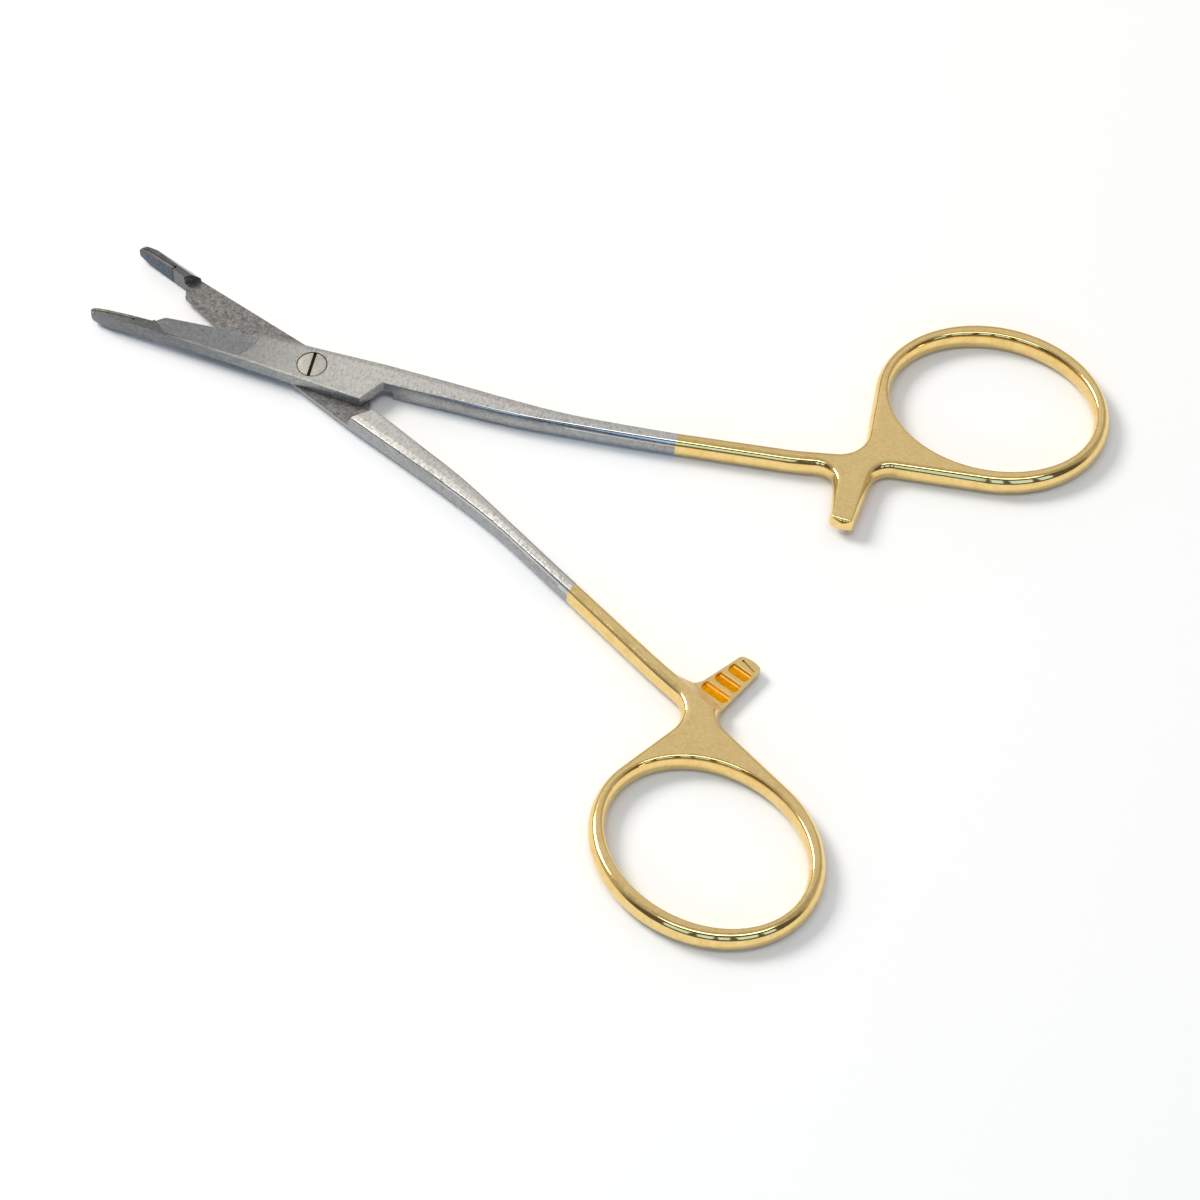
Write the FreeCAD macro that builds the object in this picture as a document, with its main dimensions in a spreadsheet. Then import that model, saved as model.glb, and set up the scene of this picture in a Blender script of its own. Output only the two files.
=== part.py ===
"""Needle holder with scissor blades behind its jaws, nominal size 12 cm.

Two forged arms cross in a lap joint and turn on one slotted screw. Each arm is one piece: jaw,
blade, lap plate, shank, ratchet bar and finger ring. A hard plate is brazed into each jaw.

Every arm is drawn in its own closed frame: the screw axis is the origin, +X runs to the rings,
+Y to the side of the arm's own ring, and the lap plane is Z = 0 with the lap plate above it.
The lower arm is the upper one turned half a turn about X. In the finished part the instrument
lies on Z = 0, the screw axis is X = Y = 0 and the arms stand open about the X axis.
"""
import FreeCAD
import Part
import Sketcher

import math
import os

Vector = FreeCAD.Vector
ORIGIN, X_AXIS, Z_AXIS = Vector(0, 0, 0), Vector(1, 0, 0), Vector(0, 0, 1)

# name, value in mm, degrees or pieces, what it is
SIZES = (
    ("blank_thickness", 2.9, "thickness of the forging, at the joint, the shanks and the rings"),
    ("lap_gap", 0.08, "running gap between the two lap faces"),
    ("rest_opening", 20.8, "angle between the arms at rest"),
    ("handle_bevel_width", 0.7, "width of the slope along the edges of shank, ratchet bar and ring"),
    ("handle_bevel_height", 0.9, "height of that slope"),
    ("back_round", 0.3, "rounding along the outer back edge of jaw, blade and lap plate"),
    ("jaw_bevel_offset", 0.8, "centre line to the foot of the bevel along the jaw's back"),
    ("jaw_bevel_width", 1.2, "width of that bevel at full thickness"),
    ("jaw_reach", 28.4, "screw axis to the jaw tip"),
    ("jaw_tip_width", 0.9, "width of a jaw at its tip"),
    ("jaw_tip_thickness", 2.2, "thickness of a jaw at its tip"),
    ("jaw_tip_round", 0.65, "rounding of the jaw tip's outer corner, seen from above"),
    ("jaw_tip_slope_length", 0.8, "length of the slopes that end the jaw, seen from the side"),
    ("jaw_tip_slope_height", 0.5, "height of each of those slopes at the very tip"),
    ("jaw_tip_lean", 0.4, "how far the jaw tip's outer corner stands back"),
    ("jaw_face_gap", 0.06, "gap between the gripping faces with the jaws closed"),
    ("jaw_taper_start", 12.0, "screw axis to where the jaw begins to thin"),
    ("jaw_nose_length", 2.8, "length of the jaw's blunt nose"),
    ("jaw_nose_offset", 1.4, "centre line to the back of the jaw behind the nose"),
    ("jaw_nose_round", 6.0, "rounding between the nose and the back of the jaw"),
    ("jaw_heel", 20.4, "screw axis to the step between jaw and blade, on the centre line"),
    ("heel_angle", 38.0, "lean of the blade's front edge and of the lap's front shoulder"),
    ("heel_gap", 0.4, "room between a blade's front edge and the other arm's front shoulder"),
    ("blade_front_offset", 1.45, "centre line to the front end of the cutting edge"),
    ("blade_offset", 2.35, "centre line to the rear end of the cutting edge"),
    ("blade_corner_round", 0.3, "rounding of the blade's front corner"),
    ("blade_reach", 12.5, "screw axis to the rear end of the cutting edge"),
    ("blade_edge_thickness", 0.3, "thickness left at the rear end of the cutting edge"),
    ("grind_offset", 1.35, "centre line to the ridge where the grind begins, on the back side"),
    ("grind_end", 7.6, "screw axis to the rear end of the grind"),
    ("plate_back_offset", 2.6, "centre line to the back of the lap plate at the screw"),
    ("plate_corner_reach", 7.2, "screw axis to the rear corner of the lap plate"),
    ("plate_corner_offset", 3.03, "centre line to the rear corner of the lap plate"),
    ("plate_notch_reach", 8.9, "screw axis to the notch behind the lap plate"),
    ("plate_notch_round", 0.4, "rounding in the notch behind the lap plate"),
    ("plate_tongue", 1.6, "how far the lap plate runs on inside the shank"),
    ("shoulder_reach", 10.2, "screw axis to the lap's rear shoulder, on the centre line"),
    ("shoulder_angle", 27.0, "lean of the rear shoulder"),
    ("insert_length", 5.7, "length of the hard plate in a jaw"),
    ("insert_thickness", 0.4, "thickness of the hard plate in a jaw"),
    ("shank_inner_offset", 0.1, "centre line to the inner side of the shank at the joint"),
    ("shank_width", 3.15, "width of the shank at the joint"),
    ("inner_bend_reach", 24.0, "screw axis to the bend of the shank's inner side"),
    ("inner_bend_offset", 0.5, "centre line to the shank's inner side at its bend"),
    ("inner_end_offset", 6.17, "centre line to the shank's inner side at the ratchet bar"),
    ("outer_bend_reach", 31.0, "screw axis to the bend of the shank's outer side"),
    ("outer_bend_offset", 3.5, "centre line to the shank's outer side at its bend"),
    ("outer_end_offset", 8.75, "centre line to the shank's outer side at the ring"),
    ("bend_radius", 80.0, "radius of the shank's bends"),
    ("ring_reach", 91.6, "screw axis to the far end of a ring"),
    ("ring_offset", 21.2, "centre line to the middle of a ring"),
    ("ring_hole_length", 24.3, "finger hole, along the instrument"),
    ("ring_hole_width", 19.0, "finger hole, across the instrument"),
    ("ring_bar_end", 1.85, "width of the ring's bar at its ends"),
    ("ring_bar_side", 2.2, "width of the ring's bar at its sides"),
    ("ring_leaves_shank", 188.0, "angle on the ring where its outer side meets the shank's fillet"),
    ("ring_leaves_ratchet", -80.0, "angle on the ring where its outer side meets the bar's fillet"),
    ("ring_root_round", 3.2, "fillet between shank and ring"),
    ("ratchet_reach", 67.45, "screw axis to the far side of the ratchet bar"),
    ("ratchet_width_tip", 2.9, "width of the ratchet bar at its tip"),
    ("ratchet_width_root", 4.55, "width of the ratchet bar where it leaves the shank"),
    ("ratchet_overlap", 1.4, "how far the ratchet bar passes the centre line"),
    ("ratchet_corner", 0.85, "corner radius of the ratchet bar's tip"),
    ("ratchet_root_round", 2.4, "fillets at the foot of the ratchet bar"),
    ("ratchet_thin_length", 7.6, "length of the ratchet bar that is half as thick as the shank"),
    ("ratchet_gap", 0.12, "gap between the tooth crests of the two bars"),
    ("tooth_count", 3, "tooth grooves on a ratchet bar"),
    ("tooth_pitch", 1.9, "distance from tooth to tooth"),
    ("tooth_width", 1.2, "width of a tooth groove"),
    ("tooth_depth", 0.5, "depth of a tooth groove"),
    ("tooth_first", 0.35, "centre line to the near edge of the first groove"),
    ("screw_head_diameter", 3.6, "diameter of the screw head"),
    ("screw_head_height", 0.7, "height of the screw head"),
    ("screw_pin_diameter", 2.3, "plain part of the screw, on which the upper arm turns"),
    ("screw_thread_diameter", 1.8, "threaded part of the screw, in the lower arm"),
    ("screw_slot_width", 0.4, "width of the driver slot"),
    ("screw_slot_depth", 0.4, "depth of the driver slot"),
    ("screw_slot_turn", 107.0, "direction of the driver slot"),
    ("running_clearance", 0.03, "radial clearance round the screw"),
    ("cut_room", 1.0, "how far a cut reaches past the metal"),
)


def make_sheet(doc):
    sheet = doc.addObject("Spreadsheet::Sheet", "Sizes")
    for row, (name, value, meaning) in enumerate(SIZES, start=1):
        sheet.set(f"A{row}", name)
        sheet.set(f"B{row}", str(value))
        sheet.setAlias(f"B{row}", name)
        sheet.set(f"C{row}", meaning)
    doc.recompute()
    return sheet


class Sheet:
    """The sheet's values by name, for the outlines that are worked out in code."""

    def __init__(self, sheet):
        for name, _, _ in SIZES:
            setattr(self, name, float(sheet.get(name)))


def plane(body, role):
    return next(item for item in body.Origin.OriginFeatures if item.Role == role)


def new_sketch(body, name, role, offset=None):
    """A sketch on one of the body's own planes, moved along its normal by a formula."""
    sketch = body.newObject("Sketcher::SketchObject", name)
    sketch.AttachmentSupport = [(plane(body, role), "")]
    sketch.MapMode = "FlatFace"
    if offset:
        sketch.setExpression("AttachmentOffset.Base.z", offset)
    return sketch


def bound_polygon(sketch, corners):
    """A closed polygon. Each corner is a pair of formulas in the sheet's names."""
    points = [Vector(sketch.evalExpression(x), sketch.evalExpression(y), 0) for x, y in corners]
    first = sketch.GeometryCount
    for index, point in enumerate(points):
        sketch.addGeometry(Part.LineSegment(point, points[(index + 1) % len(points)]), False)
    for index, (formula_x, formula_y) in enumerate(corners):
        line = first + index
        following = first + (index + 1) % len(points)
        sketch.addConstraint(Sketcher.Constraint("Coincident", line, 2, following, 1))
        for kind, formula, value in (
            ("DistanceX", formula_x, points[index].x),
            ("DistanceY", formula_y, points[index].y),
        ):
            number = sketch.addConstraint(Sketcher.Constraint(kind, -1, 1, line, 1, value))
            sketch.setExpression(f"Constraints[{number}]", formula)


def bound_circle(sketch, diameter):
    size = sketch.evalExpression(diameter)
    circle = sketch.addGeometry(Part.Circle(ORIGIN, Z_AXIS, size / 2), False)
    sketch.addConstraint(Sketcher.Constraint("Coincident", circle, 3, -1, 1))
    number = sketch.addConstraint(Sketcher.Constraint("Diameter", circle, size))
    sketch.setExpression(f"Constraints[{number}]", diameter)


def pad(body, name, sketch, length, symmetric=False):
    feature = body.newObject("PartDesign::Pad", name)
    feature.Profile = sketch
    feature.SideType = "Symmetric" if symmetric else "One side"
    feature.setExpression("Length", length)
    return feature


def pocket(body, name, sketch, length=None, symmetric=False, reverse=False):
    """A cut against the sketch's normal, through everything where no length is given."""
    feature = body.newObject("PartDesign::Pocket", name)
    feature.Profile = sketch
    feature.SideType = "Symmetric" if symmetric else "One side"
    feature.Reversed = reverse
    if length:
        feature.setExpression("Length", length)
    else:
        feature.Type = "ThroughAll"
    return feature


def meeting_point(point, direction, other_point, other_direction):
    """Where two straight lines in the plan cross."""
    cross = direction.x * other_direction.y - direction.y * other_direction.x
    gap = other_point - point
    return point + direction * ((gap.x * other_direction.y - gap.y * other_direction.x) / cross)


def rounded_path(corners, closed=False):
    """Lines through the corners (point, radius), with a tangent arc at each corner."""
    count = len(corners)
    curves = []
    leaves = []
    arrives = []
    arcs = []
    for index, (point, radius) in enumerate(corners):
        inner = closed or 0 < index < count - 1
        if not inner or radius == 0:
            arrives.append(point)
            leaves.append(point)
            arcs.append(None)
            continue
        back = (corners[index - 1][0] - point).normalize()
        ahead = (corners[(index + 1) % count][0] - point).normalize()
        half = math.acos(max(-1.0, min(1.0, back.dot(ahead)))) / 2
        reach = radius / math.tan(half)
        middle = (back + ahead).normalize() * (radius / math.sin(half) - radius)
        arrives.append(point + back * reach)
        leaves.append(point + ahead * reach)
        arcs.append(Part.Arc(arrives[-1], point + middle, leaves[-1]))
    for index in range(count):
        if arcs[index]:
            curves.append(arcs[index])
        if index + 1 < count or closed:
            curves.append(Part.LineSegment(leaves[index], arrives[(index + 1) % count]))
    return curves


def ring_ellipses(size):
    """The finger hole and the ring's outer side."""
    half_length = size.ring_hole_length / 2 + size.ring_bar_end
    half_width = size.ring_hole_width / 2 + size.ring_bar_side
    centre = Vector(size.ring_reach - half_length, size.ring_offset, 0)
    hole = Part.Ellipse(centre, size.ring_hole_length / 2, size.ring_hole_width / 2)
    return hole, Part.Ellipse(centre, half_length, half_width)


def handle_outline(size):
    """Shank, ratchet bar and the ring's outer side, from the rear shoulder round and back."""
    outer = ring_ellipses(size)[1]
    start = math.radians(size.ring_leaves_ratchet)
    end = math.radians(size.ring_leaves_shank)
    lean = math.tan(math.radians(size.shoulder_angle))
    outer_offset = size.shank_inner_offset + size.shank_width
    inner_bend = Vector(size.inner_bend_reach, size.inner_bend_offset, 0)
    outer_bend = Vector(size.outer_bend_reach, size.outer_bend_offset, 0)
    foot = Vector(size.ratchet_reach - size.ratchet_width_root, size.inner_end_offset, 0)
    tip = Vector(size.ratchet_reach - size.ratchet_width_tip, -size.ratchet_overlap, 0)
    far_tip = Vector(size.ratchet_reach, -size.ratchet_overlap, 0)
    ring_start = outer.value(start)
    far_foot = meeting_point(far_tip, Vector(0, 1, 0), ring_start, outer.tangent(start)[0])
    shank_end = Vector(size.ratchet_reach - size.ratchet_width_tip, size.outer_end_offset, 0)
    ring_end = outer.value(end)
    root = meeting_point(ring_end, outer.tangent(end)[0], outer_bend, shank_end - outer_bend)
    shank = rounded_path((
        (ring_end, 0),
        (root, size.ring_root_round),
        (outer_bend, size.bend_radius),
        (Vector(size.shoulder_reach - outer_offset * lean, outer_offset, 0), 0),
        (Vector(size.shoulder_reach - size.shank_inner_offset * lean, size.shank_inner_offset, 0), 0),
        (inner_bend, size.bend_radius),
        (foot, size.ratchet_root_round),
        (tip, size.ratchet_corner),
        (far_tip, size.ratchet_corner),
        (far_foot, size.ratchet_root_round),
        (ring_start, 0),
    ))
    return shank + [Part.ArcOfEllipse(outer, start, end)]


def front_outline(size):
    """Jaw, blade and lap plate, and the tongue with which the plate runs on inside the shank."""
    face = -size.jaw_face_gap / 2
    heel_lean = size.blade_front_offset * math.tan(math.radians(size.heel_angle))
    tongue = size.plate_notch_reach + size.plate_tongue
    tongue_high = size.shank_inner_offset + size.shank_width - size.handle_bevel_width
    rear_lean = math.tan(math.radians(size.shoulder_angle))
    outer_offset = size.shank_inner_offset + size.shank_width
    return rounded_path((
        (Vector(-size.jaw_heel, face, 0), 0),
        (Vector(-size.jaw_reach, face, 0), 0),
        (Vector(size.jaw_tip_lean - size.jaw_reach, face - size.jaw_tip_width, 0), size.jaw_tip_round),
        (Vector(size.jaw_nose_length - size.jaw_reach, -size.jaw_nose_offset, 0), size.jaw_nose_round),
        (Vector(0, -size.plate_back_offset, 0), 0),
        (Vector(size.plate_corner_reach, -size.plate_corner_offset, 0), 0),
        (Vector(size.plate_notch_reach, size.shank_inner_offset, 0), size.plate_notch_round),
        (Vector(tongue, size.shank_inner_offset, 0), 0),
        (Vector(tongue, tongue_high, 0), 0),
        (Vector(size.shoulder_reach - outer_offset * rear_lean, outer_offset, 0), 0),
        (Vector(-size.blade_reach, size.blade_offset, 0), 0),
        (Vector(heel_lean - size.jaw_heel, size.blade_front_offset, 0), size.blade_corner_round),
    ), closed=True)


def edges_of(feature, wanted):
    """The names of the feature's edges that the test picks by their middle."""
    names = []
    for number, edge in enumerate(feature.Shape.Edges, start=1):
        if wanted(edge.valueAt((edge.FirstParameter + edge.LastParameter) / 2)):
            names.append(f"Edge{number}")
    return names


def edge_feature(doc, body, kind, name, wanted):
    """A fillet or chamfer on the edges of the body's last feature that the test picks."""
    base = body.Tip
    doc.recompute()
    feature = body.newObject(kind, name)
    feature.Base = (base, edges_of(base, wanted))
    body.Tip = feature
    return feature


def shape_handle(doc, body, size):
    """The full-thick part of an arm: shank, ratchet bar and ring, with rounded edges."""
    half = size.blank_thickness / 2
    lean = math.tan(math.radians(size.shoulder_angle))
    sketch = new_sketch(body, "HandleOutline", "XY_Plane")
    sketch.addGeometry(handle_outline(size), False)
    sketch.addGeometry(ring_ellipses(size)[0], False)
    pad(body, "Handle", sketch, "Sizes.blank_thickness", symmetric=True)

    def on_flat(middle):
        shoulder = size.shoulder_reach - middle.y * lean
        return abs(abs(middle.z) - half) < 1e-6 and middle.x > shoulder + 0.01

    bevel = edge_feature(doc, body, "PartDesign::Chamfer", "HandleBevel", on_flat)
    bevel.ChamferType = "Two distances"
    bevel.setExpression("Size", "Sizes.handle_bevel_height")
    bevel.setExpression("Size2", "Sizes.handle_bevel_width")


def thin_jaw(body):
    """Thins the jaw from both flats towards its tip, which ends in two short slopes."""
    sketch = new_sketch(body, "JawSide", "XZ_Plane")
    slope_start = "Sizes.jaw_tip_slope_length - Sizes.jaw_reach"
    past = "-Sizes.jaw_reach - Sizes.jaw_tip_slope_length / 2"
    tip = "Sizes.jaw_tip_thickness / 2"
    outside = "Sizes.blank_thickness / 2 + Sizes.cut_room"
    for side in (1, -1):
        bound_polygon(sketch, (
            ("-Sizes.jaw_taper_start", f"{side} * Sizes.blank_thickness / 2"),
            (slope_start, f"{side} * {tip}"),
            (past, f"{side} * ({tip} - 1.5 * Sizes.jaw_tip_slope_height)"),
            (past, f"{side} * ({outside})"),
            ("-Sizes.jaw_taper_start", f"{side} * ({outside})"),
        ))
    pocket(body, "JawTaper", sketch, symmetric=True)


def shape_front(doc, body, size):
    """Jaw, blade and lap plate in full thickness, with a round back, thinned towards the tip."""
    sketch = new_sketch(body, "FrontOutline", "XY_Plane")
    sketch.addGeometry(front_outline(size), False)
    pad(body, "Front", sketch, "Sizes.blank_thickness", symmetric=True)

    def on_outer_back(middle):
        behind = middle.y < -size.jaw_tip_width and middle.x < size.plate_corner_reach - 0.1
        return behind and abs(middle.z - size.blank_thickness / 2) < 1e-6

    rounding = edge_feature(doc, body, "PartDesign::Fillet", "BackRound", on_outer_back)
    rounding.setExpression("Radius", "Sizes.back_round")

    thin_jaw(body)
    bevel_jaw(body)


def bevel_jaw(body):
    """The slope along the back of the jaw, on the side away from the arm's lap plate."""
    section = new_sketch(body, "JawBevelSection", "YZ_Plane", "-Sizes.blade_reach")
    side = "-Sizes.jaw_bevel_offset - Sizes.jaw_bevel_width"
    bound_polygon(section, (
        ("-Sizes.jaw_bevel_offset", "-Sizes.blank_thickness / 2"),
        (side, "-Sizes.blank_thickness / 2"),
        (side, "-Sizes.lap_gap / 2"),
    ))
    pocket(body, "JawBevel", section)


def cut_lap(body):
    """The lap: between its two leaning shoulders only the half above the lap plane stays."""
    sketch = new_sketch(body, "LapArea", "XY_Plane", "Sizes.lap_gap / 2")
    reach = "(Sizes.plate_corner_offset + Sizes.cut_room)"
    front = "Sizes.jaw_heel + Sizes.heel_gap"
    bound_polygon(sketch, (
        (f"-({front}) + {reach} * tan(Sizes.heel_angle * 1deg)", f"-{reach}"),
        (f"Sizes.shoulder_reach + {reach} * tan(Sizes.shoulder_angle * 1deg)", f"-{reach}"),
        (f"Sizes.shoulder_reach - {reach} * tan(Sizes.shoulder_angle * 1deg)", reach),
        (f"-({front}) - {reach} * tan(Sizes.heel_angle * 1deg)", reach),
    ))
    pocket(body, "Lap", sketch)


def grind_blade(body):
    """The grind: a slope from the ridge down to the cutting edge, ahead of the lap plate."""
    sketch = new_sketch(body, "GrindSection", "YZ_Plane", "-Sizes.grind_end")
    half = "Sizes.blank_thickness / 2"
    slope = f"(({half} - Sizes.blade_edge_thickness) / (Sizes.blade_offset + Sizes.grind_offset))"
    side = "Sizes.blade_offset + Sizes.cut_room"
    bound_polygon(sketch, (
        ("-Sizes.grind_offset", half),
        (side, f"Sizes.blade_edge_thickness - {slope} * Sizes.cut_room"),
        (side, f"{half} + Sizes.cut_room"),
        ("-Sizes.grind_offset", f"{half} + Sizes.cut_room"),
    ))
    lean = "Sizes.grind_offset * tan(Sizes.heel_angle * 1deg)"
    pocket(body, "Grind", sketch, f"Sizes.jaw_heel + {lean} - Sizes.grind_end")


def cut_ratchet(doc, body):
    """Halves the ratchet bar at the lap plane and cuts its row of saw teeth."""
    side = "Sizes.ratchet_reach + Sizes.cut_room"
    end = "-Sizes.ratchet_overlap - Sizes.cut_room"
    sketch = new_sketch(body, "RatchetArea", "XY_Plane", "Sizes.ratchet_gap / 2")
    foot = "Sizes.ratchet_reach - Sizes.ratchet_width_root - Sizes.ratchet_root_round"
    root = "Sizes.ratchet_thin_length - Sizes.ratchet_overlap"
    bound_polygon(sketch, (
        (foot, end),
        (side, end),
        (side, root),
        (foot, root),
    ))
    pocket(body, "RatchetHalf", sketch)

    tooth = new_sketch(body, "ToothSection", "YZ_Plane", side)
    crest = "Sizes.ratchet_gap / 2"
    bound_polygon(tooth, (
        ("Sizes.tooth_first", "0"),
        ("Sizes.tooth_first + Sizes.tooth_width", "0"),
        ("Sizes.tooth_first + Sizes.tooth_width", crest),
        ("Sizes.tooth_first", f"{crest} + Sizes.tooth_depth"),
    ))
    groove = pocket(body, "Tooth", tooth, "Sizes.ratchet_width_root + 2 * Sizes.cut_room")
    doc.recompute()
    row = body.newObject("PartDesign::LinearPattern", "Teeth")
    row.Originals = [groove]
    row.Direction = (tooth, ["H_Axis"])
    row.setExpression("Length", "Sizes.tooth_pitch * (Sizes.tooth_count - 1)")
    row.setExpression("Occurrences", "Sizes.tooth_count")
    body.Tip = row


def bore_for_head(body):
    """The upper arm's plain hole and the seat that lets the screw head in flush."""
    hole = new_sketch(body, "PinHoleCircle", "XY_Plane", "Sizes.blank_thickness / 2 + Sizes.cut_room")
    bound_circle(hole, "Sizes.screw_pin_diameter + 2 * Sizes.running_clearance")
    pocket(body, "PinHole", hole)
    floor = "Sizes.blank_thickness / 2 - Sizes.screw_head_height - Sizes.running_clearance"
    seat = new_sketch(body, "HeadSeatCircle", "XY_Plane", floor)
    bound_circle(seat, "Sizes.screw_head_diameter + 2 * Sizes.running_clearance")
    pocket(body, "HeadSeat", seat, reverse=True)


def bore_for_thread(body):
    """The lower arm's hole for the threaded end of the screw."""
    hole = new_sketch(body, "ThreadHoleCircle", "XY_Plane", "Sizes.blank_thickness / 2 + Sizes.cut_room")
    bound_circle(hole, "Sizes.screw_thread_diameter + 2 * Sizes.running_clearance")
    pocket(body, "ThreadHole", hole)


def forge_arm(doc, name, size, bore):
    """One arm in its closed frame, still filled where the hard plate goes."""
    body = doc.addObject("PartDesign::Body", name)
    shape_handle(doc, body, size)
    shape_front(doc, body, size)
    cut_lap(body)
    grind_blade(body)
    cut_ratchet(doc, body)
    bore(body)
    return body


def insert_seat(doc, name):
    """The corner of a jaw that its hard plate takes up, over the jaw's full height."""
    box = doc.addObject("Part::Box", name)
    box.setExpression("Length", "Sizes.insert_length + Sizes.cut_room")
    box.setExpression("Width", "Sizes.insert_thickness + Sizes.cut_room")
    box.setExpression("Height", "Sizes.blank_thickness")
    box.setExpression("Placement.Base.x", "-Sizes.jaw_reach - Sizes.cut_room")
    box.setExpression("Placement.Base.y", "-Sizes.jaw_face_gap / 2 - Sizes.insert_thickness")
    box.setExpression("Placement.Base.z", "-Sizes.blank_thickness / 2")
    return box


def fit_insert(doc, side, forging, placement):
    """Splits a forging into the finished arm and the hard plate in its jaw."""
    seat = insert_seat(doc, f"{side}_insert_seat")
    nodes = []
    for kind, label in (("Part::Cut", f"{side}_arm"), ("Part::Common", f"{side}_jaw_insert")):
        node = doc.addObject(kind, label)
        node.Base = forging
        node.Tool = seat
        node.Label = label
        node.Placement = placement
        nodes.append(node)
    return nodes


def make_screw(doc, size):
    """The joint screw, fixed in the lower arm: flush slotted head, plain pin, flush threaded end."""
    body = doc.addObject("PartDesign::Body", "joint_screw")
    body.Label = "joint_screw"
    half = "Sizes.blank_thickness / 2"
    thread = "Sizes.screw_thread_diameter / 2"
    pin = "Sizes.screw_pin_diameter / 2"
    head = "Sizes.screw_head_diameter / 2"
    profile = new_sketch(body, "ScrewProfile", "XZ_Plane")
    bound_polygon(profile, (
        ("0", f"-{half}"),
        (thread, f"-{half}"),
        (thread, "-Sizes.lap_gap / 2"),
        (pin, "-Sizes.lap_gap / 2"),
        (pin, f"{half} - Sizes.screw_head_height"),
        (head, f"{half} - Sizes.screw_head_height"),
        (head, half),
        ("0", half),
    ))
    turned = body.newObject("PartDesign::Revolution", "Turned")
    turned.Profile = profile
    turned.ReferenceAxis = (profile, ["V_Axis"])
    turned.Angle = 360

    slot = new_sketch(body, "SlotArea", "XY_Plane", f"{half} - Sizes.screw_slot_depth")
    along = "Sizes.screw_head_diameter"
    across = "Sizes.screw_slot_width / 2"
    cosine = "cos(Sizes.screw_slot_turn * 1deg)"
    sine = "sin(Sizes.screw_slot_turn * 1deg)"
    bound_polygon(slot, tuple(
        (
            f"({forward} * {along}) * {cosine} - ({sideways} * {across}) * {sine}",
            f"({forward} * {along}) * {sine} + ({sideways} * {across}) * {cosine}",
        )
        for forward, sideways in ((-1, -1), (1, -1), (1, 1), (-1, 1))
    ))
    pocket(body, "Slot", slot, reverse=True)
    body.Placement = FreeCAD.Placement(Vector(0, 0, size.blank_thickness / 2), FreeCAD.Rotation())
    return body


def check(doc, nodes):
    for item in doc.Objects:
        if "Invalid" in item.State or "Error" in item.State:
            raise RuntimeError(f"{item.Name} failed: {item.State}")
    for node in nodes:
        if node.Shape.isNull() or not node.Shape.isValid():
            raise RuntimeError(f"{node.Label} has no valid shape")


def main():
    doc = FreeCAD.newDocument("NeedleHolder")
    size = Sheet(make_sheet(doc))
    turn = size.rest_opening / 2
    middle = Vector(0, 0, size.blank_thickness / 2)
    swing = FreeCAD.Rotation(Z_AXIS, turn)
    flip = FreeCAD.Rotation(Z_AXIS, -turn).multiply(FreeCAD.Rotation(X_AXIS, 180))
    upper = forge_arm(doc, "UpperForging", size, bore_for_head)
    lower = forge_arm(doc, "LowerForging", size, bore_for_thread)
    nodes = fit_insert(doc, "upper", upper, FreeCAD.Placement(middle, swing))
    nodes += fit_insert(doc, "lower", lower, FreeCAD.Placement(middle, flip))
    nodes.append(make_screw(doc, size))
    doc.recompute()
    check(doc, nodes)
    os.makedirs("parts", exist_ok=True)
    for node in nodes:
        node.Shape.exportStep(f"parts/{node.Label}.step")
        box = node.Shape.BoundBox
        print(f"{node.Label}: {node.Shape.Volume:.1f} mm3, {len(node.Shape.Solids)} solid, "
              f"x {box.XMin:.2f} to {box.XMax:.2f}, y {box.YMin:.2f} to {box.YMax:.2f}, "
              f"z {box.ZMin:.2f} to {box.ZMax:.2f}")


main()
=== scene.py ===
"""Needle holder with scissor blades, the dressed model: satin steel, gold-plated handles,
hard jaw plates and a slotted joint screw, lying open on a pale table.

Each arm is drawn once in its own closed frame, in millimetres: the screw axis is the origin,
+X runs to the rings, +Y to the arm's own ring, the lap plane is Z = 0 and the lap plate is
above it. The lower arm is the same forging turned over.
"""

import math

import bmesh
import bpy
from mathutils import Matrix, Vector
from mathutils.geometry import tessellate_polygon


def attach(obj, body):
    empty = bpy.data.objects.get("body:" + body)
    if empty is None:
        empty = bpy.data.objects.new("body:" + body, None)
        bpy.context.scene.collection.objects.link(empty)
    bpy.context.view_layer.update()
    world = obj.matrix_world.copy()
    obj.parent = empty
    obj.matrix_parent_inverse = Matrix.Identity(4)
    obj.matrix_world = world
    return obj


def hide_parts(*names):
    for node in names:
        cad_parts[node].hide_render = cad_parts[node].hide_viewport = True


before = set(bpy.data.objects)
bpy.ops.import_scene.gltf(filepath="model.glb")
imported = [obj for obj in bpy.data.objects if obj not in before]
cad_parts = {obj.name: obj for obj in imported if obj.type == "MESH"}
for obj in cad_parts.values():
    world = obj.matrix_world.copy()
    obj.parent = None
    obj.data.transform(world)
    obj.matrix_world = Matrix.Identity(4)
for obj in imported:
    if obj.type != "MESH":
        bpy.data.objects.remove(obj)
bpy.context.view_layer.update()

MM = 0.001
HALF = 1.45                  # half of the forging's thickness
OPENING = 20.8               # degrees between the arms at rest
BOWS = {"upper": -0.45, "lower": 0.2}        # sideways bow of each shank, + towards its ring
LAP = 0.04                   # lap face above the lap plane
HEEL_LEAN = math.tan(math.radians(38))       # slant of the lap cut's front shoulder
SHOULDER_LEAN = math.tan(math.radians(27))   # slant of its rear shoulder
RING_CENTRE = (77.6, 21.2)
RING_OUTER = (14.0, 11.7)    # half axes of the ring
RING_HOLE = (12.15, 9.5)     # half axes of the finger hole
RING_LEAN = 0.7              # how far the ring's outer wall leans in
HOLE_LEAN = 0.5              # how far the wall of the finger hole leans in
FULL_LEAN = 0.6              # lean from which a wall's shoulder is fully round
BAR_NEAR, BAR_FAR = 64.5, 67.45              # the ratchet bar's two sides
BAR_TIP = -1.15
BAR_LEAN = 0.34
BAR_TAPER = 0.2186           # sideways run of the bar's near side for each mm of its length
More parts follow.
